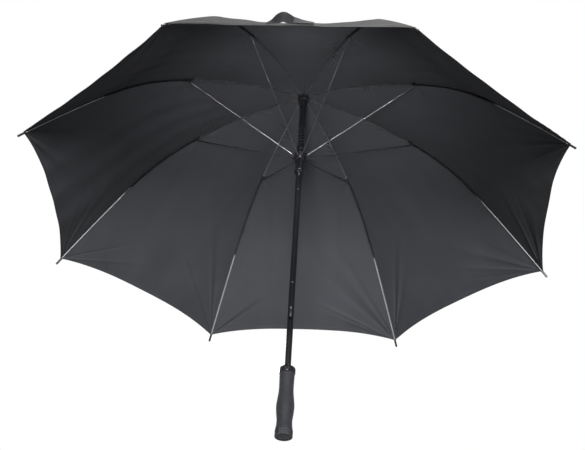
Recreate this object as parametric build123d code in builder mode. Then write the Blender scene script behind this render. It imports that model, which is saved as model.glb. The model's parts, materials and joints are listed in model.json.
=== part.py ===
"""Golf umbrella, open: eight hinged ribs and stretchers on a runner, a panelled canopy and a foam grip.

Millimetres, +Z up along the shaft, origin at the centre of the grip's lower end.
Ribs are numbered counter-clockwise, and rib 1 stands half a pitch from +X.
"""
from build123d import *
import os
from math import atan2, cos, degrees, radians, sin, sqrt, tan

os.makedirs("parts", exist_ok=True)

# ---------------------------------------------------------------- driving dimensions
RIB_COUNT = 8
HALF_PITCH = 180 / RIB_COUNT
CROWN_Z = 924.0  # height of the rib pivots
RIB_RADII = (12.0, 292.5, 476.0, 645.0)  # crown pivot, stretcher joint, ferrule, fabric corner
RIB_SLOPES = (1.0, 19.0, 44.0, 47.0)  # downward slope of the rib at those radii, degrees
JOINT_DROP = 2.5  # stretcher pin below the middle of the rib
RUNNER_PIVOT_R = 13.0
RUNNER_PIVOT_Z = 736.0

SHAFT_R = 7.0
SHAFT_BORE = 5.8
RUNNING_GAP = 0.06  # radial clearance of pieces that turn or slide
FIXED_GAP = 0.03  # radial clearance of pieces that are glued or pinned
SHAFT_BOTTOM = 16.0
SHAFT_TOP = 945.0

FABRIC = 1.2  # canopy thickness
FABRIC_RISE = 4.4  # canopy above the middle of the rib
FABRIC_HOLE = 9.5
FABRIC_SEAM_GAP = 0.25
HEM_SCALLOP = 11.6

TAB = 1.4  # thickness of the flat pivot eyes
EYE_R = 2.2
WIRE_R = 0.6
WIRE_HOLE_R = 0.75
PIN_R = 1.0
BAR_HALF = 1.2  # half height of the flat pivot tabs
CHANNEL_HALF = 1.3  # half height of the rib channels
CHANNEL_WALL = 0.5
SLOT_WIDTH = 2.0

STOP_PIN_Z = 746.0
CROWN_PIN_Z = 898.0
CROSS_PIN_R = 1.2
SPRING_BOTTOM = 769.2
SPRING_TOP = 829.4
SLEEVE_R = 7.9  # of the dark sleeve between the spring and the crown
RIVET_R = 0.9
WASHER_R = 23.0
WASHER_BOTTOM = 930.2
TOP_CATCH_Z = 694.0
TOP_ANCHOR_Z = 638.0
BOTTOM_CATCH_Z = 297.0
BOTTOM_ANCHOR_Z = 378.0
CATCH_WIDTH = 3.6
CATCH_REACH = 10.0  # radius that a catch nose stands out to
CATCH_SLOT_WIDTH = 4.4
CATCH_GROOVE_R = 10.5

COLLAR_BOTTOM = 149.0
COLLAR_TOP = 164.0
COLLAR_R = 17.4
END_CAP_R = 19.0
END_CAP_TOP = 14.0
CORE_R = 9.5

# ---------------------------------------------------------------- rib line
JOINT_R = RIB_RADII[1]
FERRULE_R = RIB_RADII[2]
CORNER_R = RIB_RADII[3]


def rib_arcs():
    """The rib line's tangent arcs: start radius, end radius, bend radius, start slope, start height."""
    arcs = []
    height = CROWN_Z
    spans = zip(RIB_RADII, RIB_RADII[1:], RIB_SLOPES, RIB_SLOPES[1:])
    for start, end, slope, next_slope in spans:
        first, last = radians(slope), radians(next_slope)
        bend = (end - start) / (sin(last) - sin(first))
        arcs.append((start, end, bend, first, height))
        height -= bend * (cos(first) - cos(last))
    return arcs


ARCS = rib_arcs()


def rib_height(radius):
    """Height of the middle of a rib at a distance from the shaft's axis."""
    if radius <= RIB_RADII[0]:
        return CROWN_Z
    start, _, bend, slope, height = next((a for a in ARCS if radius <= a[1]), ARCS[-1])
    turned = sin(slope) + (radius - start) / bend
    return height - bend * (cos(slope) - sqrt(1 - turned**2))


def rib_point(radius, rise=0.0):
    """A point of the rib line in the rib's own upright plane."""
    return (radius, rib_height(radius) + rise)


JOINT_Z = rib_height(JOINT_R) - JOINT_DROP


def rib_path(start, end):
    """An arc of the rib line between two radii."""
    with BuildLine(Plane.XZ) as path:
        ThreePointArc(rib_point(start), rib_point((start + end) / 2), rib_point(end))
    return path.line


def across(path, at=0.0):
    """The plane square to a path, with its X along +Y."""
    return Plane(origin=path @ at, x_dir=(0, 1, 0), z_dir=path % at)


def save(part, name):
    part.label = name
    export_step(part, f"parts/{name}.step")


def save_ring(part, name):
    """One copy of a piece for each rib, turned about the shaft."""
    for number in range(RIB_COUNT):
        azimuth = HALF_PITCH * (2 * number + 1)
        save(part.rotate(Axis.Z, azimuth), f"{name}_{number + 1}")


# ---------------------------------------------------------------- shaft and what is fixed on it
def tube(inner, outer, bottom, top):
    with BuildPart() as made:
        with BuildSketch(Plane.XY.offset(bottom)):
            Circle(outer)
            Circle(inner, mode=Mode.SUBTRACT)
        extrude(amount=top - bottom)
    return made


def turned(points):
    """A solid of revolution about Z from a closed profile of (radius, height) points."""
    with BuildPart() as made:
        with BuildSketch(Plane.XZ):
            with BuildLine():
                Polyline(*points, close=True)
            make_face()
        revolve(axis=Axis.Z)
    return made


def shaft():
    """The round tube, with a front slot for each catch and holes for its rivets and cross pins."""
    front_slots = ((TOP_CATCH_Z - 4, 24), (BOTTOM_CATCH_Z, 36))
    barrel = tube(SHAFT_BORE, SHAFT_R, SHAFT_BOTTOM, SHAFT_TOP)
    with BuildPart() as made:
        add(barrel.part)
        with BuildSketch(Plane.XZ):
            for height, length in front_slots:
                with Locations((0, height)):
                    SlotOverall(length, CATCH_SLOT_WIDTH, rotation=90)
            for height in (TOP_ANCHOR_Z, BOTTOM_ANCHOR_Z):
                with Locations((0, height)):
                    Circle(RIVET_R + 0.5)
        extrude(amount=SHAFT_R + 1, mode=Mode.SUBTRACT)
        with BuildSketch(Plane.XZ):
            for height in (STOP_PIN_Z, CROWN_PIN_Z):
                with Locations((0, height)):
                    Circle(CROSS_PIN_R + 0.05)
        extrude(amount=SHAFT_R + 1, both=True, mode=Mode.SUBTRACT)
    return made


def cross_pin(height, half_length):
    """A pin through the shaft along Y with domed ends."""
    with BuildPart() as made:
        with BuildSketch(Plane.XZ):
            with Locations((0, height)):
                Circle(CROSS_PIN_R)
        extrude(amount=half_length, both=True)
        ends = made.edges().filter_by(GeomType.CIRCLE)
        fillet(ends, CROSS_PIN_R * 0.6)
    return made


def crown():
    """The fixed notch: a slotted disc on a sleeve, where the inner ribs are wired on."""
    disc_bottom, disc_top, disc_r, sleeve_r = 914.0, 927.6, 13.6, 9.6
    sleeve_bottom = 893.0
    profile = (
        (SHAFT_R + FIXED_GAP, sleeve_bottom),
        (sleeve_r, sleeve_bottom),
        (sleeve_r, disc_bottom - 3),
        (disc_r, disc_bottom),
        (disc_r, disc_top - 1),
        (disc_r - 1, disc_top),
        (SHAFT_R + FIXED_GAP, disc_top),
    )
    slot_depth = disc_r - sleeve_r + 1
    body = turned(profile)
    with BuildPart() as made:
        add(body.part)
        with BuildSketch(Plane.XY.offset(disc_bottom - 3.5)):
            with PolarLocations(sleeve_r + slot_depth / 2 - 0.2, RIB_COUNT, start_angle=HALF_PITCH):
                Rectangle(slot_depth, SLOT_WIDTH)
        extrude(amount=disc_top - disc_bottom + 5, mode=Mode.SUBTRACT)
        with BuildSketch(Plane.XZ):
            with Locations((RIB_RADII[0], CROWN_Z)):
                Circle(WIRE_R + 0.05)
        revolve(axis=Axis.Z, mode=Mode.SUBTRACT)
        with BuildSketch(Plane.XZ):
            with Locations((0, CROWN_PIN_Z)):
                Circle(CROSS_PIN_R + 0.05)
        extrude(amount=sleeve_r + 1, both=True, mode=Mode.SUBTRACT)
    return made


def ring_wire(radius, height):
    """The wire ring that the pivot eyes of all the ribs or stretchers are threaded on."""
    with BuildPart() as made:
        with BuildSketch(Plane.XZ):
            with Locations((radius, height)):
                Circle(WIRE_R)
        revolve(axis=Axis.Z)
    return made


def top_cap():
    """The turned cap above the canopy, with its short straight tip."""
    profile = (
        (SHAFT_R + FIXED_GAP, 931.6),
        (13.2, 931.6),
        (13.2, 934.0),
        (9.6, 948.0),
        (6.0, 957.0),
        (4.6, 960.0),
        (4.6, 980.0),
        (3.2, 983.6),
        (0.0, 985.0),
        (0.0, SHAFT_TOP + 0.6),
        (SHAFT_R + FIXED_GAP, SHAFT_TOP + 0.6),
    )
    return turned(profile)


def buffer_spring(bottom, top):
    """The open coil round the shaft that softens the runner's stop."""
    pitch, coil_r, wire_r = 9.0, 7.75, 0.5
    with BuildPart() as made:
        with BuildLine(Plane.XY.offset(bottom)) as path:
            Helix(pitch=pitch, height=top - bottom, radius=coil_r)
        with BuildSketch(Plane(origin=path.line @ 0, z_dir=path.line % 0)):
            Circle(wire_r)
        sweep()
    return made


# ---------------------------------------------------------------- handle
def spring_seat():
    """The tapered collar under the buffer spring."""
    bore, rim_r, bottom, top = SHAFT_R + FIXED_GAP, 8.9, SPRING_BOTTOM - 12.0, SPRING_BOTTOM - 0.8
    profile = ((bore, bottom), (bore + 0.8, bottom), (rim_r, bottom + 3.5), (rim_r, top), (bore, top))
    return turned(profile)


def grip():
    """The swelling foam sleeve of the handle."""
    outline = (
        (END_CAP_R - 0.2, END_CAP_TOP + 0.2),
        (17.0, 27.0),
        (16.6, 38.0),
        (18.6, 58.0),
        (19.3, 71.0),
        (17.6, 90.0),
        (15.9, 106.0),
        (15.7, 126.0),
        (16.4, COLLAR_BOTTOM - 0.2),
    )
    bore = CORE_R + FIXED_GAP
    with BuildPart() as made:
        with BuildSketch(Plane.XZ):
            with BuildLine():
                Spline(*outline)
                Polyline(outline[-1], (bore, outline[-1][1]), (bore, outline[0][1]), outline[0])
            make_face()
        revolve(axis=Axis.Z)
    return made


def grip_end_cap():
    """The flared lower end of the handle, with rings cut in its flat face."""
    groove_count = 3
    bore = CORE_R + FIXED_GAP
    with BuildPart() as made:
        with BuildSketch(Plane.XY):
            Circle(END_CAP_R)
        extrude(amount=END_CAP_TOP)
        rims = made.edges().filter_by(GeomType.CIRCLE).sort_by(Axis.Z)
        fillet(rims[0], 1.0)
        with BuildSketch(Plane.XY.offset(6)):
            Circle(bore)
        extrude(amount=END_CAP_TOP, mode=Mode.SUBTRACT)
        with BuildSketch(Plane.XY):
            for number in range(groove_count):
                groove_r = 5.5 + 4 * number
                Circle(groove_r)
                Circle(groove_r - 1, mode=Mode.SUBTRACT)
        extrude(amount=0.6, mode=Mode.SUBTRACT)
    return made


def grip_collar():
    """The domed ring that covers the top of the foam."""
    with BuildPart() as made:
        with BuildSketch(Plane.XY.offset(COLLAR_BOTTOM)):
            Circle(COLLAR_R)
        extrude(amount=COLLAR_TOP - COLLAR_BOTTOM)
        rims = made.edges().filter_by(GeomType.CIRCLE).sort_by(Axis.Z)
        fillet(rims[-1], 5.0)
        fillet(rims[0], 1.0)
        with BuildSketch(Plane.XY.offset(COLLAR_BOTTOM)):
            Circle(CORE_R + FIXED_GAP)
        extrude(amount=8, mode=Mode.SUBTRACT)
        with BuildSketch(Plane.XY.offset(COLLAR_BOTTOM)):
            Circle(SHAFT_R + FIXED_GAP)
        extrude(amount=COLLAR_TOP - COLLAR_BOTTOM + 1, mode=Mode.SUBTRACT)
    return made


# ---------------------------------------------------------------- runner and catches
def runner():
    """The sliding sleeve: a slotted collar for the stretchers, a ringed body and a lower flange."""
    collar_top, collar_bottom, collar_r = RUNNER_PIVOT_Z + 7, RUNNER_PIVOT_Z - 6, 15.2
    body_r, flange_r, flange_top, bottom = 9.2, 11.4, 699.0, 686.0
    ring_pitch, ring_count = 5.5, 5
    bore = SHAFT_R + RUNNING_GAP
    profile = (
        (bore, bottom),
        (flange_r - 0.8, bottom),
        (flange_r, bottom + 0.8),
        (flange_r, flange_top - 3),
        (body_r, flange_top),
        (body_r, collar_bottom - 3),
        (collar_r, collar_bottom + 1),
        (collar_r, collar_top - 1),
        (collar_r - 1, collar_top),
        (bore, collar_top),
    )
    slot_r = 10.6
    body = turned(profile)
    with BuildPart() as made:
        add(body.part)
        for number in range(ring_count):
            with BuildSketch(Plane.XY.offset(flange_top + 1.5 + number * ring_pitch)):
                Circle(body_r + 0.7)
                Circle(body_r - 0.5, mode=Mode.SUBTRACT)
            extrude(amount=ring_pitch / 2)
        with BuildSketch(Plane.XY.offset(collar_bottom - 4)):
            with PolarLocations(slot_r + 3, RIB_COUNT, start_angle=HALF_PITCH):
                Rectangle(6, SLOT_WIDTH)
        extrude(amount=collar_top - collar_bottom + 5, mode=Mode.SUBTRACT)
        with BuildSketch(Plane.XZ):
            with Locations((RUNNER_PIVOT_R, RUNNER_PIVOT_Z)):
                Circle(WIRE_R + 0.05)
        revolve(axis=Axis.Z, mode=Mode.SUBTRACT)
        with BuildSketch(Plane.XY.offset(bottom)):
            with Locations((0, -CATCH_GROOVE_R / 2)):
                Rectangle(CATCH_SLOT_WIDTH, CATCH_GROOVE_R)
        extrude(amount=collar_top - bottom, mode=Mode.SUBTRACT)
    return made


def catch(nose_z, anchor_z):
    """A leaf spring inside the shaft, anchored at one end, with a nose that leaves through a slot.

    The nose is steep on the side away from the anchor and runs out gently towards it.
    """
    away = 1 if nose_z > anchor_z else -1
    leaf_in, leaf_out = -4.5, -5.2
    outline = (
        (leaf_in, anchor_z - 5 * away),
        (leaf_in, nose_z + 7 * away),
        (leaf_out - 0.8, nose_z + 7 * away),
        (-CATCH_REACH, nose_z + 4.5 * away),
        (-CATCH_REACH, nose_z + 1 * away),
        (leaf_out, nose_z - 13 * away),
        (leaf_out, anchor_z - 5 * away),
    )
    with BuildPart() as made:
        with BuildSketch(Plane.YZ):
            with BuildLine():
                Polyline(*outline, close=True)
            make_face()
        extrude(amount=CATCH_WIDTH / 2, both=True)
        with BuildSketch(Plane.XZ):
            with Locations((0, anchor_z)):
                Circle(RIVET_R + 0.3)
        extrude(amount=SHAFT_R, mode=Mode.SUBTRACT)
    return made


def catch_rivets():
    """The two rivets that anchor the catches, each with a flat head on the front of the shaft."""
    root_y, head_r, head_height = 4.0, 1.9, 0.7
    with BuildPart() as made:
        for height in (TOP_ANCHOR_Z, BOTTOM_ANCHOR_Z):
            with BuildSketch(Plane.XZ.offset(root_y)):
                with Locations((0, height)):
                    Circle(RIVET_R)
            extrude(amount=SHAFT_R + head_height / 2 - root_y)
            with BuildSketch(Plane.XZ.offset(SHAFT_R + 0.02)):
                with Locations((0, height)):
                    Circle(head_r)
            extrude(amount=head_height)
    return made


# ---------------------------------------------------------------- ribs and stretchers
def channel(start, end, half_width):
    """A U channel, open below, along the rib line between two radii."""
    path = rib_path(start, end)
    square = across(path)
    down = -1 if square.y_dir.Z > 0 else 1
    with BuildPart() as made:
        with BuildSketch(square):
            Rectangle(2 * half_width, 2 * CHANNEL_HALF)
        sweep(path=path)
        with BuildSketch(square):
            with Locations((0, down * CHANNEL_WALL)):
                Rectangle(2 * (half_width - CHANNEL_WALL), 2 * CHANNEL_HALF)
        sweep(path=path, mode=Mode.SUBTRACT)
    return made


def rod(path, radius):
    """A round bar along a path."""
    with BuildPart() as made:
        with BuildSketch(across(path)):
            Circle(radius)
        sweep(path=path)
    return made


def flat_bar(start, end, half_height, low, high):
    """A flat plate with round ends in the rib's plane, between two points, from y low to y high."""
    middle = ((start[0] + end[0]) / 2, (start[1] + end[1]) / 2)
    run = Vector(end[0] - start[0], end[1] - start[1])
    lean = degrees(atan2(run.Y, run.X))
    with BuildPart() as made:
        with BuildSketch(Plane.XZ.offset(-high)):
            with Locations(middle):
                SlotCenterToCenter(run.length, 2 * half_height, rotation=lean)
        extrude(amount=high - low)
    return made


def post(point, radius, half_length):
    """A round post along Y about a point of the rib's plane."""
    with BuildPart() as made:
        with BuildSketch(Plane.XZ):
            with Locations(point):
                Circle(radius)
        extrude(amount=half_length, both=True)
    return made


JOINT = (JOINT_R, JOINT_Z)
CROWN_PIVOT = (RIB_RADII[0], CROWN_Z)
RUNNER_PIVOT = (RUNNER_PIVOT_R, RUNNER_PIVOT_Z)
CHEEK_IN, CHEEK_OUT = 2.15, 3.15
EAR_IN, EAR_OUT = 1.05, 1.85


def pair(start, end, half_height, inner, outer):
    """Two flat bars, one each side of the rib's plane."""
    return [
        flat_bar(start, end, half_height, inner, outer),
        flat_bar(start, end, half_height, -outer, -inner),
    ]


def joined(pieces, holes):
    """One solid from overlapping pieces, with holes cut through it."""
    with BuildPart() as made:
        for piece in pieces:
            add(piece.part)
        for hole in holes:
            add(hole.part, mode=Mode.SUBTRACT)
    return made


def rib_inner():
    """From the crown to the stretcher joint, ending in the joint block's two cheeks and its pin."""
    tab_end, block_start, block_end = 30.0, JOINT_R - 12, JOINT_R - 5
    tab = TAB / 2
    pieces = [
        flat_bar(CROWN_PIVOT, rib_point(tab_end), BAR_HALF, -tab, tab),
        flat_bar(CROWN_PIVOT, rib_point(RIB_RADII[0] + 2), EYE_R, -tab, tab),
        channel(tab_end - 3, block_start + 1, 1.5),
        flat_bar(rib_point(block_start), rib_point(block_end), 1.7, -CHEEK_OUT, CHEEK_OUT),
        *pair(rib_point(block_end - 2), JOINT, 2.7, CHEEK_IN, CHEEK_OUT),
    ]
    eyed = joined(pieces, [post(CROWN_PIVOT, WIRE_HOLE_R, SLOT_WIDTH)])
    return joined([eyed, post(JOINT, PIN_R, CHEEK_OUT)], [])


def rib_outer():
    """From the stretcher joint to the canopy corner: ears, channel, ferrule, rod and end cap."""
    channel_start, ferrule_half, rod_r, ferrule_r, cap_r, cap_start, cap_length = (
        JOINT_R + 5, 7.0, 1.5, 2.3, 2.6, 8.0, 14.0,
    )
    slope = radians(RIB_SLOPES[-1])
    corner = Vector(CORNER_R, 0, rib_height(CORNER_R))
    ahead = Vector(cos(slope), 0, -sin(slope))
    cap = rod(Edge.make_line(corner - ahead * cap_start, corner + ahead * cap_length), cap_r)
    pieces = [
        *pair(JOINT, rib_point(channel_start + 3), 2.3, EAR_IN, EAR_OUT),
        channel(channel_start, FERRULE_R - 2, EAR_OUT),
        rod(rib_path(FERRULE_R - 5, CORNER_R), rod_r),
        rod(rib_path(FERRULE_R - ferrule_half, FERRULE_R + ferrule_half), ferrule_r),
        cap,
    ]
    whole = joined(pieces, [post(JOINT, PIN_R + RUNNING_GAP, CHEEK_OUT)])
    with BuildPart() as made:
        add(whole.part)
        fillet(made.faces().sort_by(Axis.X)[-1].edges(), 1.6)
    return made


def stretcher():
    """The strut from the runner to the joint, a wire with a flattened eye at each end."""
    run = Vector(JOINT[0] - RUNNER_PIVOT[0], JOINT[1] - RUNNER_PIVOT[1])
    ahead = run.normalized()
    low_tab, high_tab, overlap, wire_r, tab = 11.0, 10.0, 2.0, 1.1, TAB / 2

    def along(distance):
        return (RUNNER_PIVOT[0] + ahead.X * distance, RUNNER_PIVOT[1] + ahead.Y * distance)

    low_end, high_end = along(low_tab), along(run.length - high_tab)
    wire_start, wire_end = along(low_tab - overlap), along(run.length - high_tab + overlap)
    wire = Edge.make_line((wire_start[0], 0, wire_start[1]), (wire_end[0], 0, wire_end[1]))
    pieces = [
        rod(wire, wire_r),
        flat_bar(RUNNER_PIVOT, low_end, BAR_HALF, -tab, tab),
        flat_bar(RUNNER_PIVOT, along(1.0), EYE_R, -tab, tab),
        flat_bar(high_end, JOINT, BAR_HALF, -tab, tab),
        flat_bar(along(run.length - 1.0), JOINT, EYE_R, -tab, tab),
    ]
    holes = [
        post(RUNNER_PIVOT, WIRE_HOLE_R, SLOT_WIDTH),
        post(JOINT, PIN_R + RUNNING_GAP, SLOT_WIDTH),
    ]
    return joined(pieces, holes)


# ---------------------------------------------------------------- canopy
def canopy_section():
    """The fabric that one rib carries, from mid-panel to mid-panel, taut between the ribs."""
    stations = (FABRIC_HOLE, 60, 150, JOINT_R, 385, FERRULE_R, 560, CORNER_R)
    turn = radians(HALF_PITCH)
    panel = Plane(origin=(0, 0, 0), x_dir=(-sin(turn), cos(turn), 0), z_dir=(cos(turn), sin(turn), 0))
    hem = CORNER_R * cos(turn)
    half_hem = CORNER_R * sin(turn)
    with BuildPart() as made:
        for radius in stations:
            height = rib_height(radius) + FABRIC_RISE
            rib_side, seam_side = -radius * sin(turn), -FABRIC_SEAM_GAP
            with BuildSketch(panel.offset(radius * cos(turn))):
                with BuildLine():
                    Polyline(
                        (rib_side, height),
                        (seam_side, height),
                        (seam_side, height + FABRIC),
                        (rib_side, height + FABRIC),
                        close=True,
                    )
                make_face()
        loft()
        floor = Plane(origin=(0, 0, 400), x_dir=(cos(turn), sin(turn), 0), z_dir=(0, 0, 1))
        with BuildSketch(floor):
            with BuildLine():
                ThreePointArc((hem, -half_hem), (hem - HEM_SCALLOP, 0), (hem, half_hem))
                Line((hem, half_hem), (hem, -half_hem))
            make_face()
        extrude(amount=600, mode=Mode.SUBTRACT)
        mirror(about=Plane.XZ)
    return made


def strap_plane():
    """Across the outside of the front panel near its hem: X along the hem, Y away from the fabric."""
    distance = 560.0
    turn = radians(HALF_PITCH)
    slope = atan2(tan(radians(RIB_SLOPES[-1])), cos(turn))
    surface = rib_height(distance / cos(turn)) + FABRIC_RISE + FABRIC / cos(slope)
    return Plane(
        origin=(0, -distance, surface),
        x_dir=(1, 0, 0),
        z_dir=(0, -cos(slope), -sin(slope)),
    )


def closing_strap():
    """The folded strap that ties the closed canopy, lying loose on the outside of the front panel."""
    width, half_thick = 22.0, 0.7
    loop = ((-50, 3.6), (-36, 6), (-24, 11), (-15, 14.5), (-6, 10.5), (6, 6.4), (26, 5), (46, 3.6))
    upper = [(x, y + half_thick) for x, y in loop]
    lower = [(x, y - half_thick) for x, y in reversed(loop)]
    with BuildPart() as made:
        with BuildSketch(strap_plane()):
            with BuildLine():
                Spline(*upper)
                Line(upper[-1], lower[0])
                Spline(*lower)
                Line(lower[-1], upper[0])
            make_face()
        extrude(amount=width)
    return made


def strap_pad():
    """The hook-and-loop square near the strap's free end."""
    side, thickness, edge = 18.0, 1.0, 2.0
    with BuildPart() as made:
        with BuildSketch(strap_plane().offset(edge)):
            with Locations((20, 7.0)):
                Rectangle(side, thickness)
        extrude(amount=side)
    return made


# ---------------------------------------------------------------- write the pieces
def main():
    sleeve_bore = SHAFT_R + FIXED_GAP
    pieces = {
        "shaft": shaft(),
        "crown": crown(),
        "crown_wire": ring_wire(RIB_RADII[0], CROWN_Z),
        "crown_pin": cross_pin(CROWN_PIN_Z, 10.2),
        "canopy_washer": tube(sleeve_bore, WASHER_R, WASHER_BOTTOM, WASHER_BOTTOM + 1.2),
        "top_cap": top_cap(),
        "spring_sleeve": tube(sleeve_bore, SLEEVE_R, SPRING_TOP + 0.8, CROWN_PIN_Z - 5.2),
        "buffer_spring": buffer_spring(SPRING_BOTTOM, SPRING_TOP),
        "spring_seat": spring_seat(),
        "stop_pin": cross_pin(STOP_PIN_Z, 10.4),
        "catch_rivets": catch_rivets(),
        "grip_core": tube(sleeve_bore, CORE_R, 6.2, COLLAR_BOTTOM + 7.8),
        "grip": grip(),
        "grip_end_cap": grip_end_cap(),
        "grip_collar": grip_collar(),
        "runner": runner(),
        "runner_wire": ring_wire(RUNNER_PIVOT_R, RUNNER_PIVOT_Z),
        "top_catch": catch(TOP_CATCH_Z, TOP_ANCHOR_Z),
        "bottom_catch": catch(BOTTOM_CATCH_Z, BOTTOM_ANCHOR_Z),
        "closing_strap": closing_strap(),
        "strap_pad": strap_pad(),
    }
    for name, piece in pieces.items():
        save(piece.part, name)
    ring_pieces = {
        "rib_inner": rib_inner(),
        "rib_outer": rib_outer(),
        "stretcher": stretcher(),
        "canopy_section": canopy_section(),
    }
    for name, piece in ring_pieces.items():
        save_ring(piece.part, name)


main()
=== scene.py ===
"""Golf umbrella, open and seen from below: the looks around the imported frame. Metres, +Z up."""
import json

import bpy
import numpy as np
from mathutils import Matrix, Vector


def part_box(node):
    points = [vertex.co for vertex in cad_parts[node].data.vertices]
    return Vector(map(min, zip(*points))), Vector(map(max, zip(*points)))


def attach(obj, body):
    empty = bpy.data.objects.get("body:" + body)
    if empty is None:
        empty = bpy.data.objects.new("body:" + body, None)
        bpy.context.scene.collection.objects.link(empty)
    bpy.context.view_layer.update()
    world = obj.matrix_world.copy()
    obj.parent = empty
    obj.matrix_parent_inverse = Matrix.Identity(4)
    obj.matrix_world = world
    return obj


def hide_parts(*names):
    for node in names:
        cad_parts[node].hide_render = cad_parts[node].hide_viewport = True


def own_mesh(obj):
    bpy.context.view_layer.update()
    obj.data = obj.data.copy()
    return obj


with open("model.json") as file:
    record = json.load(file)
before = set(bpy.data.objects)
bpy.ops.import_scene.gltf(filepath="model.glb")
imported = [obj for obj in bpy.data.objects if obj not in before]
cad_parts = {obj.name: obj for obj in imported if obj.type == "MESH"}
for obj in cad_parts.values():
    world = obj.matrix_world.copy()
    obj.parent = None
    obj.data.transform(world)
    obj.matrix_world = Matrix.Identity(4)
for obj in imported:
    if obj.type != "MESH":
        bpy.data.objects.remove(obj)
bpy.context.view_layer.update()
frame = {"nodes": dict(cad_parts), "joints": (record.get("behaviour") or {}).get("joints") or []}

# ---------------------------------------------------------------- driving dimensions
JOINTS = {joint["name"]: joint for joint in frame["joints"]}
CROWN = Vector(JOINTS["rib_1_fold"]["pos_m"])
JOINT = Vector(JOINTS["rib_1_flex"]["pos_m"])
RIB_COUNT = 8
HALF_PITCH = np.pi / RIB_COUNT
CROWN_R = CROWN.xy.length
CROWN_Z = CROWN.z
JOINT_R = JOINT.xy.length
FERRULE_R = 0.476
CORNER_R = 0.645
RIB_RADII = (CROWN_R, JOINT_R, FERRULE_R, CORNER_R)
RIB_SLOPES = np.radians((1, 19, 44, 47))
BLOCK_START_R = JOINT_R - 0.0126  # the black joint block covers the rib from here outwards
ROD_START_R = FERRULE_R + 0.006
ROD_END_R = CORNER_R - 0.0062

FABRIC_RISE = 0.0050  # middle of the cloth above the middle of the rib
CLOTH = 0.0006
CLOTH_HOLE_R = 0.0097
HEM_SCALLOP = 0.0150  # how far the middle of a hem lies inside the line between its corners
HEM_WIDTH = 0.011
HEM_STITCH = HEM_WIDTH - 0.0015
HEM_LAYER = 0.0006
SEAM_WIDTH = 0.0045
SEAM_STITCH = SEAM_WIDTH - 0.001
SEAM_LAYER = 0.0005

# How deep each part of the cloth's shape is.
PANEL_SAG = 0.012
FOLD_DEPTH = 0.0026
TIE_DEPTH = 0.0007  # round the thread that ties the cloth at a stretcher joint
TIE_REACH = 0.016
SWELL_DEPTH = 0.0008
PUCKER_DEPTH = 0.0016
PLEAT_DEPTH = 0.0012

# Rows along the rib and columns across, for each half of a section.
INNER_GRID = (56, 26)
OUTER_GRID = (84, 44)

rng = np.random.default_rng(20)


def add_object(name, data):
    item = bpy.data.objects.new(name, data)
    bpy.context.scene.collection.objects.link(item)
    return item


# ---------------------------------------------------------------- materials
class Shader:
    """One procedural material, built up socket by socket."""

    def __init__(self, name, rough, metal=0.0, **sockets):
        self.material = bpy.data.materials.new(name)
        self.material.use_nodes = True
        self.tree = self.material.node_tree
        self.bsdf = self.tree.nodes["Principled BSDF"]
        self.set(self.bsdf, Roughness=rough, Metallic=metal, **sockets)

    def set(self, node, **values):
        """Values for a node's sockets, named with underscores for spaces."""
        for socket, value in values.items():
            node.inputs[socket.replace("_", " ")].default_value = value

    def add(self, kind, **settings):
        node = self.tree.nodes.new(kind)
        for setting, value in settings.items():
            setattr(node, setting, value)
        return node

    def link(self, output, target):
        self.tree.links.new(output, target)

    def place(self, uv=None):
        """Coordinates fixed to the object, or one of its UV maps."""
        if uv:
            return self.add("ShaderNodeUVMap", uv_map=uv).outputs["UV"]
        return self.add("ShaderNodeTexCoord").outputs["Object"]

    def noise(self, scale, detail=4.0, stretch=(1, 1, 1), uv=None):
        mapping = self.add("ShaderNodeMapping")
        mapping.inputs["Scale"].default_value = stretch
        self.link(self.place(uv), mapping.inputs["Vector"])
        node = self.add("ShaderNodeTexNoise")
        self.set(node, Scale=scale, Detail=detail, Roughness=0.55)
        self.link(mapping.outputs["Vector"], node.inputs["Vector"])
        return node.outputs["Fac"]

    def ramp(self, value, low, high, start=0.3, end=0.7):
        """Colours between low and high as a value goes from start to end."""
        node = self.add("ShaderNodeValToRGB")
        stops = node.color_ramp.elements
        stops[0].position, stops[1].position = start, end
        stops[0].color, stops[1].color = (*low, 1), (*high, 1)
        self.link(value, node.inputs["Fac"])
        return node.outputs["Color"]

    def span(self, value, low, high, start=0.3, end=0.7):
        """Numbers between low and high as a value goes from start to end."""
        node = self.add("ShaderNodeMapRange")
        self.link(value, node.inputs["Value"])
        self.set(node, From_Min=start, From_Max=end, To_Min=low, To_Max=high)
        return node.outputs["Result"]

    def math(self, operation, a, b=0.0):
        node = self.add("ShaderNodeMath", operation=operation)
        for socket, value in zip(node.inputs, (a, b)):
            if isinstance(value, (int, float)):
                socket.default_value = value
            else:
                self.link(value, socket)
        return node.outputs["Value"]

    def mix(self, factor, a, b):
        node = self.add("ShaderNodeMix", data_type="RGBA")
        self.link(factor, node.inputs["Factor"])
        self.link(a, node.inputs["A"])
        if isinstance(b, tuple):
            node.inputs["B"].default_value = (*b, 1)
        else:
            self.link(b, node.inputs["B"])
        return node.outputs["Result"]

    def bump(self, height, distance, strength=1.0):
        """Relief on top of any that is there already."""
        node = self.add("ShaderNodeBump")
        self.set(node, Distance=distance, Strength=strength)
        self.link(height, node.inputs["Height"])
        previous = self.bsdf.inputs["Normal"].links
        if previous:
            self.link(previous[0].from_socket, node.inputs["Normal"])
        self.link(node.outputs["Normal"], self.bsdf.inputs["Normal"])

    def color(self, output):
        self.link(output, self.bsdf.inputs["Base Color"])

    def rough(self, output):
        self.link(output, self.bsdf.inputs["Roughness"])


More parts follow.
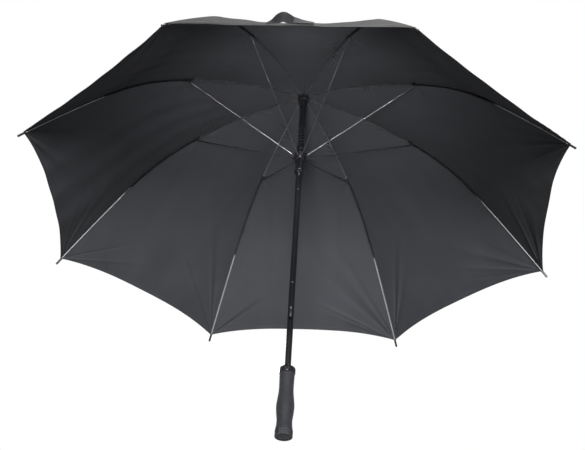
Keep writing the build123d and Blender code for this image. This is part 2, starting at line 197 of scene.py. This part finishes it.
def cloth_material(name, dark, light, rough, sheen):
    """Plain-weave polyester, with stitching near its hem and seams.

    The "cloth" map is in metres across and along the panel.
    The "edge" map is the distance to the hem and to the rib seam.
    """
    yarn, stitch, thread = 0.0009, 0.0032, 0.0005
    s = Shader(name, rough, Sheen_Weight=sheen, Sheen_Roughness=0.5, Specular_IOR_Level=0.12)
    split = s.add("ShaderNodeSeparateXYZ")
    s.link(s.place("cloth"), split.inputs["Vector"])
    waves = []
    for axis in ("X", "Y"):
        phase = s.math("MULTIPLY", split.outputs[axis], 2 * np.pi / yarn)
        waves.append(s.math("SINE", phase))
    weave = s.math("MULTIPLY", waves[0], waves[1])
    cloudy = s.noise(9.0, uv="cloth")
    streaks = s.noise(30.0, stretch=(1.0, 0.12, 1.0), uv="cloth")
    tone = s.math("ADD", s.math("MULTIPLY", cloudy, 0.6), s.math("MULTIPLY", streaks, 0.4))
    tone = s.math("ADD", tone, s.math("MULTIPLY", weave, 0.06))
    base = s.ramp(tone, dark, light)
    edges = s.add("ShaderNodeSeparateXYZ")
    s.link(s.place("edge"), edges.inputs["Vector"])
    lines = []
    for axis, other, inset in (("X", "Y", HEM_STITCH), ("Y", "X", SEAM_STITCH)):
        away = s.math("ABSOLUTE", s.math("SUBTRACT", edges.outputs[axis], inset))
        on_line = s.math("LESS_THAN", away, thread)
        dash = s.math("FRACT", s.math("DIVIDE", edges.outputs[other], stitch))
        lines.append(s.math("MULTIPLY", on_line, s.math("LESS_THAN", dash, 0.7)))
    stitched = s.math("MAXIMUM", *lines)
    s.color(s.mix(stitched, base, tuple(1.5 * c for c in light)))
    s.rough(s.span(cloudy, rough - 0.06, rough + 0.08))
    s.bump(weave, 0.00008, 0.5)
    s.bump(streaks, 0.0006, 0.35)
    s.bump(stitched, 0.0003, 0.8)
    return s.material


def metal_material(name, dark, light, rough):
    """Drawn metal with fine lengthwise scratches and a little tarnish."""
    s = Shader(name, rough, 1.0)
    tarnish = s.noise(60.0)
    scratch = s.noise(900.0, 6.0, stretch=(1, 1, 0.15))
    s.color(s.ramp(tarnish, dark, light))
    s.rough(s.span(scratch, rough - 0.06, rough + 0.12))
    s.bump(scratch, 0.00003, 0.4)
    return s.material


def coated_material(name, color, rough, grain, depth, coat=0.0, wear=1.6, gloss=0.5):
    """Paint or moulded plastic with a fine grain, faintly paler where it has been handled."""
    s = Shader(name, rough, Specular_IOR_Level=gloss, Coat_Weight=coat, Coat_Roughness=0.06)
    patches = s.noise(26.0)
    fine = s.noise(grain, 3.0)
    s.color(s.ramp(patches, color, tuple(wear * c for c in color), 0.35, 0.8))
    s.rough(s.span(patches, rough - 0.04, rough + 0.1))
    s.bump(fine, depth, 0.5)
    return s.material


def ringed_material(name, color, rough, pitch):
    """Moulded plastic with shallow rings round the shaft's axis, their crests painted lighter as a
    painted highlight and the grooves between them left dark as painted shade.
    """
    s = Shader(name, rough, Specular_IOR_Level=0.2)
    split = s.add("ShaderNodeSeparateXYZ")
    s.link(s.place(), split.inputs["Vector"])
    rings = s.math("SINE", s.math("MULTIPLY", split.outputs["Z"], 2 * np.pi / pitch))
    # painted highlight: the ring crests are painted four times lighter than the grooves between
    # them
    s.color(s.ramp(rings, color, tuple(4 * c for c in color), 0.75, 0.98))
    s.bump(rings, 0.0008, 0.8)
    s.bump(s.noise(1100.0, 3.0), 0.00006, 0.5)
    return s.material


def foam_material():
    """Closed-cell foam: matt, with tiny cells and a soft mottling."""
    s = Shader("grip_foam", 0.72, Specular_IOR_Level=0.25, Sheen_Weight=0.05, Sheen_Roughness=0.6)
    cells = s.add("ShaderNodeTexVoronoi")
    s.link(s.place(), cells.inputs["Vector"])
    s.set(cells, Scale=620.0)
    mottle = s.noise(140.0)
    s.color(s.ramp(mottle, (0.0076, 0.0085, 0.011), (0.0126, 0.014, 0.0175)))
    s.rough(s.span(mottle, 0.62, 0.82))
    s.bump(cells.outputs["Distance"], 0.0003, 0.45)
    s.bump(s.noise(300.0), 0.0004, 0.5)
    return s.material


def hatched_material():
    """Rubber cut with two crossed sets of fine grooves, painted darker in the grooves as painted
    shade and lighter on the raised diamonds as painted highlight; the flat end is paler than the
    sides.
    """
    pitch = 0.0022
    s = Shader("grip_rubber", 0.6)
    split = s.add("ShaderNodeSeparateXYZ")
    s.link(s.place(), split.inputs["Vector"])
    sets = []
    for sign in ("ADD", "SUBTRACT"):
        run = s.math(sign, split.outputs["X"], split.outputs["Y"])
        sets.append(s.math("ABSOLUTE", s.math("SINE", s.math("MULTIPLY", run, np.pi / pitch))))
    ridges = s.math("MULTIPLY", *sets)
    # painted shade and highlight: the grooves are painted darker and the raised diamonds lighter,
    # on the sides and on the flat end
    side = s.ramp(ridges, (0.006, 0.007, 0.009), (0.018, 0.019, 0.023), 0.1, 0.8)
    sole = s.ramp(ridges, (0.03, 0.032, 0.038), (0.11, 0.115, 0.13), 0.1, 0.8)
    s.color(s.mix(s.span(split.outputs["Z"], 0.0, 1.0, 0.0006, 0.0002), side, sole))
    s.bump(ridges, 0.0006, 0.9)
    s.bump(s.noise(500.0), 0.0002, 0.4)
    return s.material


BLACK = (0.004, 0.004, 0.005)
MATERIALS = {
    "fabric_inside": cloth_material(
        "fabric_inside", (0.021, 0.022, 0.0248), (0.028, 0.029, 0.0328), 0.66, 0.01
    ),
    "fabric_outside": cloth_material(
        "fabric_outside", (0.010, 0.010, 0.0098), (0.0148, 0.0148, 0.0142), 0.68, 0.0
    ),
    "strap_fabric": cloth_material(
        "strap_fabric", (0.003, 0.003, 0.0035), (0.006, 0.006, 0.007), 0.7, 0.0
    ),
    "rib_steel": metal_material("rib_steel", (0.17, 0.17, 0.18), (0.25, 0.25, 0.26), 0.42),
    "stretcher_steel": metal_material(
        "stretcher_steel", (0.11, 0.11, 0.115), (0.165, 0.165, 0.175), 0.36
    ),
    "wire_steel": metal_material("wire_steel", (0.22, 0.22, 0.23), (0.32, 0.32, 0.33), 0.25),
    "spring_steel": metal_material("spring_steel", (0.10, 0.10, 0.105), (0.16, 0.16, 0.17), 0.28),
    "catch_steel": metal_material("catch_steel", (0.30, 0.30, 0.31), (0.42, 0.42, 0.43), 0.25),
    "rib_black": coated_material("rib_black", BLACK, 0.35, 700.0, 0.00005),
    "rod_grey": coated_material("rod_grey", (0.16, 0.165, 0.17), 0.42, 900.0, 0.00004, wear=1.15),
    "shaft_black": coated_material("shaft_black", BLACK, 0.14, 260.0, 0.00002, coat=0.4),
    "black_plastic": coated_material("black_plastic", BLACK, 0.5, 1100.0, 0.00006, gloss=0.2),
    "runner_plastic": ringed_material("runner_plastic", BLACK, 0.4, 0.0078),
    "collar_gloss": coated_material(
        "collar_gloss", (0.005, 0.005, 0.006), 0.1, 300.0, 0.00001, coat=0.8
    ),
    "grip_foam": foam_material(),
    "grip_rubber": hatched_material(),
    "hook_pad": coated_material("hook_pad", (0.006, 0.006, 0.007), 0.85, 1500.0, 0.0005),
}

CAD_FINISH = {
    "shaft": "shaft_black",
    "spring_sleeve": "shaft_black",
    "crown": "black_plastic",
    "canopy_washer": "black_plastic",
    "top_cap": "black_plastic",
    "spring_seat": "black_plastic",
    "runner": "runner_plastic",
    "grip_core": "black_plastic",
    "crown_wire": "wire_steel",
    "runner_wire": "wire_steel",
    "crown_pin": "wire_steel",
    "stop_pin": "wire_steel",
    "catch_rivets": "wire_steel",
    "buffer_spring": "spring_steel",
    "grip_end_cap": "grip_rubber",
    "grip_collar": "collar_gloss",
    "top_catch": "black_plastic",
    "bottom_catch": "catch_steel",
}


def paint(node, finishes, choose=None):
    """Gives a CAD node its materials; choose picks one from each face's distance to the axis."""
    mesh = frame["nodes"][node].data
    mesh.materials.clear()
    for finish in finishes:
        mesh.materials.append(MATERIALS[finish])
    centres = np.zeros(len(mesh.polygons) * 3)
    mesh.polygons.foreach_get("center", centres)
    radius = np.linalg.norm(centres.reshape(-1, 3)[:, :2], axis=1)
    which = choose(radius) if choose else np.zeros(len(radius))
    mesh.polygons.foreach_set("material_index", which.astype(np.int32))


def finish_nodes():
    """A material for every CAD node that stays; ribs take two along their length."""
    for node, finish in CAD_FINISH.items():
        paint(node, [finish])
    for number in range(1, RIB_COUNT + 1):
        paint(
            f"rib_inner_{number}",
            ["rib_steel", "rib_black"],
            lambda radius: radius > BLOCK_START_R,
        )
        paint(
            f"rib_outer_{number}",
            ["rib_black", "rod_grey"],
            lambda radius: (radius > ROD_START_R) & (radius < ROD_END_R),
        )
        paint(f"stretcher_{number}", ["stretcher_steel"])


# ---------------------------------------------------------------- canopy surface
def rib_arcs():
    """The rib line's tangent arcs: start, end, bend radius, start slope, start height."""
    arcs, height = [], CROWN_Z
    for start, end, slope, last in zip(RIB_RADII, RIB_RADII[1:], RIB_SLOPES, RIB_SLOPES[1:]):
        bend = (end - start) / (np.sin(last) - np.sin(slope))
        arcs.append((start, end, bend, slope, height))
        height -= bend * (np.cos(slope) - np.cos(last))
    return arcs


ARCS = rib_arcs()


def rib_height(radius):
    """Height of a rib's middle, and its slope as a tangent, at distances from the shaft's axis."""
    height = np.full_like(radius, CROWN_Z)
    sine = np.zeros_like(radius)
    for start, _, bend, slope, top in ARCS:
        past = radius > start
        here = np.sin(slope) + (radius - start) / bend
        height = np.where(past, top - bend * (np.cos(slope) - np.sqrt(1 - here**2)), height)
        sine = np.where(past, here, sine)
    return height, sine / np.sqrt(1 - sine**2)


def smooth(value, start, end):
    """0 before the start and 1 after the end, with an even ramp between."""
    t = np.clip((value - start) / (end - start), 0, 1)
    return t * t * (3 - 2 * t)


def folds(angle, centres, widths, heights):
    """Ridges that spread out from a point, as a sum over their directions."""
    total = np.zeros_like(angle)
    for centre, width, height in zip(centres, widths, heights):
        total += height * np.exp(-(((angle - centre) / width) ** 2))
    return total


def corner_folds(seed):
    """The few folds that run into a panel from one of its corners."""
    dice = np.random.default_rng(seed)
    count = dice.integers(4, 7)
    centres = np.sort(dice.uniform(0.2, 1.45, count))
    widths = dice.uniform(0.035, 0.085, count)
    heights = dice.uniform(0.5, 1.0, count) * np.where(np.arange(count) % 2, 1, -0.7)
    reach = dice.uniform(0.05, 0.09)
    return centres, widths, heights, reach


CORNER_FOLDS = {
    (panel, side): corner_folds(100 + 2 * panel + (side > 0))
    for panel in range(RIB_COUNT)
    for side in (-1, 1)
}
# Corners that pull harder, or less, than the rest; keys are the panel and which of its ribs.
FOLD_STRENGTH = {
    (0, -1): 2.2,
    (0, 1): 1.7,
    (1, -1): 0.5,
    (1, 1): 2.2,
    (2, -1): 1.6,
    (3, -1): 1.2,
    (4, -1): 0.5,
}
# Three broad waves for each panel: frequency, phase and weight.
SWELLS = [
    (rng.uniform(0.5, 2.6), rng.uniform(0, 6.28), rng.uniform(0.3, 1.0))
    for _ in range(3 * RIB_COUNT)
]
# Seam puckers for each side of each panel: distance from the axis, pitch and phase.
PUCKERS = [
    (rng.uniform(0.07, 0.25), rng.uniform(0.010, 0.017), rng.uniform(0, 6.28))
    for _ in range(2 * RIB_COUNT)
]
# Two sets of puckers that the photo shows.
PUCKERS[15] = (0.105, 0.016, 0.0)
PUCKERS[8] = (0.262, 0.012, 0.0)


def inward(panel, across, radius):
    """How far the cloth lies inside the ruled surface between its ribs."""
    side = np.where(across < 0, -1, 1)
    to_rib = (1 - np.abs(across)) * radius * np.sin(HALF_PITCH)
    along = (CORNER_R - radius) / np.cos(RIB_SLOPES[-1])
    span = smooth(radius, 0.02, 0.30) * (1 - 0.75 * smooth(radius, 0.5, 0.64))
    depth = PANEL_SAG * (1 - across**2) * span
    corner_distance = np.hypot(along, to_rib)
    corner_angle = np.arctan2(to_rib, np.maximum(along, 1e-6))
    apart = smooth(np.abs(across), 0.02, 0.4)
    for which in (-1, 1):
        centres, widths, heights, reach = CORNER_FOLDS[(panel, which)]
        strength = corner_distance / reach * np.exp(1 - corner_distance / reach)
        ridge = folds(corner_angle, centres, widths, heights)
        fold = FOLD_DEPTH * FOLD_STRENGTH.get((panel, which), 1)
        depth += np.where(side == which, fold * strength * ridge * apart, 0)
    joint_angle = np.arctan2(radius - JOINT_R, to_rib)
    joint_distance = np.hypot(radius - JOINT_R, to_rib)
    tie = joint_distance / TIE_REACH * np.exp(1 - joint_distance / TIE_REACH)
    depth += TIE_DEPTH * tie * np.cos(9 * joint_angle + panel + side)
    swell = np.zeros_like(radius)
    for frequency, phase, weight in SWELLS[3 * panel : 3 * panel + 3]:
        swell += weight * np.sin(frequency * np.pi * across * 2 + phase + 3 * radius)
    depth += SWELL_DEPTH * swell * (1 - across**2) * smooth(radius, 0.1, 0.4)
    for which in (-1, 1):
        at, pitch, phase = PUCKERS[2 * panel + (which > 0)]
        near = np.exp(-(((radius - at) / 0.035) ** 2) - (to_rib / 0.022) ** 2)
        wave = np.sin(2 * np.pi * (radius + 0.35 * to_rib) / pitch + phase)
        depth += np.where(side == which, PUCKER_DEPTH * near * wave, 0)
    pleats = np.exp(-radius / 0.035) * np.cos(26 * across * HALF_PITCH + panel)
    depth += PLEAT_DEPTH * pleats * smooth(radius, 0.014, 0.03)
    return depth * smooth(to_rib, 0, 0.006)


def panel_point(panel, across, radius):
    """Points of a panel's middle surface: across is -1 at one rib and 1 at the next."""
    azimuth = 2 * HALF_PITCH * panel
    ahead = np.array((np.cos(azimuth), np.sin(azimuth), 0))
    beside = np.array((-np.sin(azimuth), np.cos(azimuth), 0))
    height, slope = rib_height(radius)
    tilt = slope / np.cos(HALF_PITCH)
    normal = (tilt[..., None] * ahead + np.array((0, 0, 1))) / np.sqrt(1 + tilt**2)[..., None]
    flat = radius * np.cos(HALF_PITCH)
    point = flat[..., None] * ahead + (across * radius * np.sin(HALF_PITCH))[..., None] * beside
    point[..., 2] = height + FABRIC_RISE
    return point - inward(panel, across, radius)[..., None] * normal


def panel_normal(panel, across, radius):
    """Outward normals of the middle surface, from small steps each way inside the panel."""
    step_across, step_radius = 0.004, 0.0008
    low = np.clip(across - step_across, -1, 1)
    high = np.clip(across + step_across, -1, 1)
    over = panel_point(panel, high, radius) - panel_point(panel, low, radius)
    farther = panel_point(panel, across, radius + step_radius)
    nearer = panel_point(panel, across, radius - step_radius)
    normal = np.cross(farther - nearer, over)
    return normal / np.linalg.norm(normal, axis=-1, keepdims=True)


def hem_radius(across):
    """The rib radius at which the scalloped hem crosses each line out from the crown."""
    half = CORNER_R * np.sin(HALF_PITCH)
    reach = CORNER_R * np.cos(HALF_PITCH) - HEM_SCALLOP
    radius = np.full_like(across, CORNER_R)
    for _ in range(4):
        offset = np.abs(across) * radius * np.sin(HALF_PITCH)
        radius = (reach + HEM_SCALLOP * (offset / half) ** 2.7) / np.cos(HALF_PITCH)
    return radius


def cut_radius(from_rib):
    """Where the cut through the stretcher joint crosses each line out from the crown.

    from_rib is 0 at the rib and 1 at mid-panel.
    """
    return JOINT_R / (1 - from_rib * np.sin(HALF_PITCH) ** 2)


def half_panel(rib, side, outer):
    """Grids over half a panel beside a rib: points, normals, cloth map and edge map."""
    rows, columns = OUTER_GRID if outer else INNER_GRID
    panel = rib % RIB_COUNT if side > 0 else (rib - 1) % RIB_COUNT
    from_rib = np.linspace(0, 1, columns) ** 1.15
    across = -side * (1 - from_rib)
    hem = hem_radius(across)
    first = cut_radius(from_rib) if outer else np.full(columns, CLOTH_HOLE_R)
    last = hem if outer else cut_radius(from_rib)
    step = np.linspace(0, 1, rows)[:, None]
    if outer:
        step = 1 - (1 - step) ** 1.3
    radius = first + (last - first) * step
    across = np.broadcast_to(across, radius.shape)
    point = panel_point(panel, across, radius)
    normal = panel_normal(panel, across, radius)
    other = (panel - 1) % RIB_COUNT if side > 0 else (panel + 1) % RIB_COUNT
    normal[:, 0] += panel_normal(other, -across[:, :1], radius[:, :1])[:, 0]
    normal /= np.linalg.norm(normal, axis=-1, keepdims=True)
    width = np.abs(across) * radius * np.sin(HALF_PITCH)
    to_rib = (1 - np.abs(across)) * radius * np.sin(HALF_PITCH)
    length = np.hypot(radius, CROWN_Z - rib_height(radius)[0])
    to_hem = (hem - radius) / np.cos(RIB_SLOPES[-1])
    return point, normal, np.stack((width, length), -1), np.stack((to_hem, to_rib), -1)


def cloth_shell(name, grids):
    """A thin closed shell round the grids' points, thicker under its hem and its rib seam."""
    point, normal, cloth_map, edge_map = grids
    rows, columns = point.shape[:2]
    hem_layer = HEM_LAYER * (1 - smooth(edge_map[..., 0], HEM_STITCH, HEM_WIDTH))
    seam_layer = SEAM_LAYER * (1 - smooth(edge_map[..., 1], SEAM_WIDTH - 0.0012, SEAM_WIDTH))
    outside = point + normal * CLOTH / 2
    inside = point - normal * (CLOTH / 2 + hem_layer + seam_layer)[..., None]
    count = rows * columns
    vertices = np.concatenate((outside.reshape(-1, 3), inside.reshape(-1, 3)))
    index = np.arange(count).reshape(rows, columns)
    corners = (index[:-1, :-1], index[1:, :-1], index[1:, 1:], index[:-1, 1:])
    quads = np.stack(corners, -1).reshape(-1, 4)
    ring = np.concatenate((index[:, 0], index[-1, 1:], index[-2::-1, -1], index[0, -2:0:-1]))
    after = np.roll(ring, -1)
    rim = np.stack((ring, ring + count, after + count, after), -1)
    faces = np.concatenate((quads, quads[:, ::-1] + count, rim))
    mesh = bpy.data.meshes.new(name)
    mesh.from_pydata(vertices.tolist(), [], faces.tolist())
    normals = np.concatenate((normal.reshape(-1, 3), -normal.reshape(-1, 3)))
    if np.einsum("ij,ij->i", face_normals(vertices, quads), normals[quads[:, 0]]).mean() < 0:
        mesh.flip_normals()
    mesh.materials.append(MATERIALS["fabric_outside"])
    mesh.materials.append(MATERIALS["fabric_inside"])
    which = np.zeros(len(faces), np.int32)
    which[len(quads) :] = 1
    mesh.polygons.foreach_set("material_index", which)
    mesh.polygons.foreach_set("use_smooth", np.ones(len(faces), bool))
    corner = np.zeros(len(mesh.loops), np.int32)
    mesh.loops.foreach_get("vertex_index", corner)
    for title, values in (("cloth", cloth_map), ("edge", edge_map)):
        layer = mesh.uv_layers.new(name=title)
        both = np.concatenate((values.reshape(-1, 2), values.reshape(-1, 2)))
        layer.data.foreach_set("uv", both[corner].astype(np.float32).ravel())
    mesh.normals_split_custom_set_from_vertices(normals.tolist())
    return add_object(name, mesh)


def face_normals(vertices, quads):
    return np.cross(
        vertices[quads[:, 1]] - vertices[quads[:, 0]],
        vertices[quads[:, 3]] - vertices[quads[:, 0]],
    )


def canopy():
    """Inner pieces span both sides of a rib; outer ones take one side each."""
    for rib in range(1, RIB_COUNT + 1):
        right = half_panel(rib, 1, False)
        left = half_panel(rib, -1, False)
        both = [np.concatenate((b[:, :0:-1], a), axis=1) for a, b in zip(right, left)]
        inner = cloth_shell(f"canopy_inner_{rib}", both)
        place_cloth(inner, rib, "inner")
        for side, word in ((1, "right"), (-1, "left")):
            half = half_panel(rib, side, True)
            outer = cloth_shell(f"canopy_outer_{rib}_{word}", half)
            place_cloth(outer, rib, "outer")


def place_cloth(piece, rib, part):
    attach(piece, f"rib_{part}_{rib}")
    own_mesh(piece)
    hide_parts(f"canopy_section_{rib}")


# ---------------------------------------------------------------- closing strap
def ribbon(name, points, across, width, thick, material, sides=24):
    """A flat strap of rounded section along a smoothed line of points, and its length."""
    line = np.concatenate((np.array(points, float), np.array(across, float)), axis=1)
    for _ in range(3):
        middle = (line[:-1] + line[1:]) / 2
        corners = np.empty((2 * len(middle), 6))
        corners[0::2] = 0.5 * (line[:-1] + middle)
        corners[1::2] = 0.5 * (line[1:] + middle)
        line = np.concatenate((line[:1], corners, line[-1:]))
    points, across = line[:, :3], line[:, 3:]
    run = np.gradient(points, axis=0)
    run /= np.linalg.norm(run, axis=1, keepdims=True)
    across = across - np.einsum("ij,ij->i", across, run)[:, None] * run
    across /= np.linalg.norm(across, axis=1, keepdims=True)
    up = np.cross(run, across)
    section = []
    for step in range(sides):
        angle = 2 * np.pi * step / sides
        x, y = np.cos(angle), np.sin(angle)
        beside = np.sign(x) * abs(x) ** 0.35 * width / 2
        above = np.sign(y) * abs(y) ** 0.6 * thick / 2
        section.append((beside, above))
    section = np.array(section)
    rings = points[:, None] + section[None, :, :1] * across[:, None]
    rings = rings + section[None, :, 1:] * up[:, None]
    rows, count = rings.shape[:2]
    faces = []
    for row in range(rows - 1):
        for k in range(count):
            a, b = row * count + k, row * count + (k + 1) % count
            faces.append((a, a + count, b + count, b))
    faces.append(tuple(range(count)))
    faces.append(tuple(range((rows - 1) * count, rows * count))[::-1])
    mesh = bpy.data.meshes.new(name)
    mesh.from_pydata(rings.reshape(-1, 3).tolist(), [], faces)
    mesh.polygons.foreach_set("use_smooth", np.ones(len(faces), bool))
    mesh.materials.append(MATERIALS[material])
    length = np.concatenate(((0,), np.cumsum(np.linalg.norm(np.diff(points, axis=0), axis=1))))
    corner = np.zeros(len(mesh.loops), np.int32)
    mesh.loops.foreach_get("vertex_index", corner)
    over = np.tile(section[:, 0] + width / 2, rows)
    runs = np.repeat(length, count)
    edge = np.minimum(over, width - over) + HEM_WIDTH - 0.004
    for title, pair in (("cloth", (over, runs)), ("edge", (edge, runs))):
        layer = mesh.uv_layers.new(name=title)
        layer.data.foreach_set("uv", np.stack(pair, -1)[corner].astype(np.float32).ravel())
    return add_object(name, mesh), float(length[-1])


STRAP_RIB = 7
STRAP_WIDTH = 0.022
STRAP_THICK = 0.0016
STRAP_DISTANCE = 0.560  # from the shaft's axis, level
# Millimetres along the hem and out from the cloth.
STRAP_LOOP = ((-50, -1), (-38, 2), (-26, 8), (-15, 13), (-6, 8.5), (6, 4.5), (26, 1), (46, -0.6))


def strap_frame():
    """Origin on the front panel's outside near the hem; hem, down-slope and outward directions."""
    radius = STRAP_DISTANCE / np.cos(HALF_PITCH)
    height, _ = rib_height(np.array(radius))
    slope = np.arctan(np.tan(RIB_SLOPES[-1]) / np.cos(HALF_PITCH))
    outward = Vector((0, -np.sin(slope), np.cos(slope)))
    down = Vector((0, -np.cos(slope), -np.sin(slope)))
    top = float(height) + 0.0044 + 0.0012 / np.cos(slope)
    return Vector((0, -STRAP_DISTANCE, top)), Vector((1, 0, 0)), down, outward


def closing_strap():
    """The strap in its loop outside the front hem, with its hook-and-loop end."""
    origin, along, down, outward = strap_frame()
    middle = origin + down * STRAP_WIDTH / 2
    line = [middle + along * x / 1000 + outward * y / 1000 for x, y in STRAP_LOOP]
    lifts = [(y + 1) * 2 / (1000 * STRAP_WIDTH) for _, y in STRAP_LOOP]
    twists = [np.arcsin(np.clip(lift, 0, 0.9)) for lift in lifts]
    across = [down * np.cos(twist) - outward * np.sin(twist) for twist in twists]
    strap, length = ribbon(
        "closing_strap_sewn", line, across, STRAP_WIDTH, STRAP_THICK, "strap_fabric"
    )
    fold = [point + outward * 0.0018 for point in line[-3:]]
    end, _ = ribbon(
        "strap_end_fold", fold, across[-3:], STRAP_WIDTH * 0.94, 0.0012, "hook_pad"
    )
    for piece, node in ((strap, "closing_strap"), (end, "strap_pad")):
        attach(piece, f"rib_outer_{STRAP_RIB}")
        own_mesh(piece)
        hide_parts(node)


# ---------------------------------------------------------------- handle
def lathe(name, profile, material, turns=96):
    """A closed solid of revolution about the shaft's axis from (radius, height) points."""
    profile = np.array(profile)
    angle = np.linspace(0, 2 * np.pi, turns, endpoint=False)
    ring = np.stack((np.cos(angle), np.sin(angle)), -1)
    vertices = np.empty((len(profile), turns, 3))
    vertices[..., :2] = profile[:, None, :1] * ring[None]
    vertices[..., 2] = profile[:, 1:]
    faces = []
    for row in range(len(profile)):
        here, after = row * turns, (row + 1) % len(profile) * turns
        for k in range(turns):
            beside = (k + 1) % turns
            faces.append((here + k, here + beside, after + beside, after + k))
    mesh = bpy.data.meshes.new(name)
    mesh.from_pydata(vertices.reshape(-1, 3).tolist(), [], faces)
    mesh.polygons.foreach_set("use_smooth", np.ones(len(faces), bool))
    mesh.materials.append(MATERIALS[material])
    return add_object(name, mesh)


# The grip's outline as (radius, height), from its flat end up to the collar.
GRIP_OUTLINE = (
    (0.0188, 0.0142),
    (0.0170, 0.027),
    (0.0166, 0.038),
    (0.0186, 0.058),
    (0.0193, 0.071),
    (0.0176, 0.090),
    (0.0159, 0.106),
    (0.0157, 0.126),
    (0.0164, 0.1488),
)
GRIP_BORE_R = 0.00953
GRIP_ROWS = 70
ROLLED_EDGE, ROLLED_HEIGHT = 0.0012, 0.0022


def foam_grip():
    """The foam sleeve, with the soft swellings of a moulded grip and rolled ends."""
    low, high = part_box("grip")
    heights = np.linspace(low.z, high.z, GRIP_ROWS)
    outer = smooth_line(GRIP_OUTLINE, heights)
    roll = np.minimum(heights - low.z, high.z - heights)
    outer -= ROLLED_EDGE * np.clip(1 - roll / ROLLED_HEIGHT, 0, 1) ** 2
    profile = [*zip(outer, heights), (GRIP_BORE_R, high.z), (GRIP_BORE_R, low.z)]
    grip = lathe("grip_foam_sleeve", profile, "grip_foam")
    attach(grip, "root")
    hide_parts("grip")


def smooth_line(knots, heights):
    """Radii at heights, on a smooth line through (radius, height) knots."""
    radii, places = (np.array(column) for column in zip(*knots))
    slopes = np.gradient(radii, places)
    cell = np.clip(np.searchsorted(places, heights) - 1, 0, len(places) - 2)
    gap = places[cell + 1] - places[cell]
    t = np.clip((heights - places[cell]) / gap, 0, 1)
    a = (2 * t**3 - 3 * t**2 + 1) * radii[cell] + (t**3 - 2 * t**2 + t) * gap * slopes[cell]
    b = (3 * t**2 - 2 * t**3) * radii[cell + 1] + (t**3 - t**2) * gap * slopes[cell + 1]
    return a + b


# ---------------------------------------------------------------- stage, light and camera
def softbox(name, place, aim, width, height, power, spread=180):
    """A rectangular light; power in watts, spread in degrees."""
    lamp = bpy.data.lights.new(name, "AREA")
    lamp.shape = "RECTANGLE"
    lamp.size, lamp.size_y = width, height
    lamp.energy = power
    lamp.spread = np.radians(spread)
    holder = add_object(name, lamp)
    holder.location = place
    holder.rotation_mode = "QUATERNION"
    holder.rotation_quaternion = (Vector(aim) - Vector(place)).to_track_quat("-Z", "Y")


def ground():
    """A plain pale floor, below the camera."""
    height, half = -1.9, 40.0
    corners = [(x * half, y * half, height) for x, y in ((-1, -1), (1, -1), (1, 1), (-1, 1))]
    mesh = bpy.data.meshes.new("floor")
    mesh.from_pydata(corners, [], [(0, 1, 2, 3)])
    pale = Shader("floor_pale", 0.9)
    pale.color(pale.ramp(pale.noise(1.5), (0.80, 0.80, 0.80), (0.84, 0.84, 0.84)))
    mesh.materials.append(pale.material)
    floor = add_object("floor", mesh)


def lights():
    """Front lights for the back panels, beams from below for the front, strips for the rest."""
    aim = (0, 0, 0.8)
    softbox("front_left", (0.2, -3.7, 0.05), aim, 0.6, 0.8, 52, spread=90)
    softbox("front_right", (0.7, -3.7, 0.05), aim, 0.6, 0.8, 44, spread=90)
    softbox("under_front", (0, -0.5, -1.5), (0, -0.33, 0.85), 0.24, 0.24, 0.24, spread=7)
    softbox("under_crown", (0.0, -2.4, -0.9), (0, 0.1, 0.88), 0.5, 0.4, 2.9, spread=22)
    softbox("strip_left", (-1.1, -2.8, 1.9), (0, 0, 0.35), 0.25, 1.5, 2)
    softbox("strip_right", (0.7, -2.9, 1.9), (0, 0, 0.35), 0.25, 1.5, 2)
    softbox("overhead", (0.4, -0.4, 3.4), (0, 0, 0.8), 2.4, 2.4, 45, spread=120)
    softbox("behind", (-1.2, 3.2, 2.2), aim, 2.0, 1.5, 60)


def backdrop():
    """White behind the object, and a weak even fill for everything else."""
    world = bpy.data.worlds.new("studio")
    world.use_nodes = True
    tree = world.node_tree
    fill = tree.nodes["Background"]
    seen = tree.nodes.new("ShaderNodeBackground")
    for background, strength in ((fill, 0.16), (seen, 1.0)):
        background.inputs["Color"].default_value = (1, 1, 1, 1)
        background.inputs["Strength"].default_value = strength
    path = tree.nodes.new("ShaderNodeLightPath")
    either = tree.nodes.new("ShaderNodeMixShader")
    tree.links.new(path.outputs["Is Camera Ray"], either.inputs["Fac"])
    tree.links.new(fill.outputs["Background"], either.inputs[1])
    tree.links.new(seen.outputs["Background"], either.inputs[2])
    tree.links.new(either.outputs["Shader"], tree.nodes["World Output"].inputs["Surface"])
    bpy.context.scene.world = world
    bpy.context.scene.view_settings.view_transform = "Standard"


def camera():
    """Low in front and looking steeply up into the canopy, a little rolled."""
    azimuth, elevation, roll = np.radians((3.42, -35.43, 3.40))
    distance = 3.134
    target = Vector((0.001, 0, 0.539))
    frame_width, focal, shift = 585, 1366, -4  # in pixels
    back = Vector((
        np.sin(azimuth) * np.cos(elevation),
        -np.cos(azimuth) * np.cos(elevation),
        np.sin(elevation),
    ))
    right = (-back).cross(Vector((0, 0, 1))).normalized()
    up = right.cross(-back)
    tilted_right = right * np.cos(roll) + up * np.sin(roll)
    tilted_up = up * np.cos(roll) - right * np.sin(roll)
    lens = bpy.data.cameras.new("camera")
    lens.sensor_width = 36
    lens.lens = focal / frame_width * lens.sensor_width
    lens.shift_x = shift / frame_width
    lens.clip_start, lens.clip_end = 0.05, 200
    holder = add_object("camera", lens)
    turn = Matrix((tilted_right, tilted_up, back)).transposed()
    holder.matrix_world = Matrix.Translation(target + back * distance) @ turn.to_4x4()
    bpy.context.scene.camera = holder


camera()
ground()
lights()
backdrop()
finish_nodes()
canopy()
closing_strap()
foam_grip()
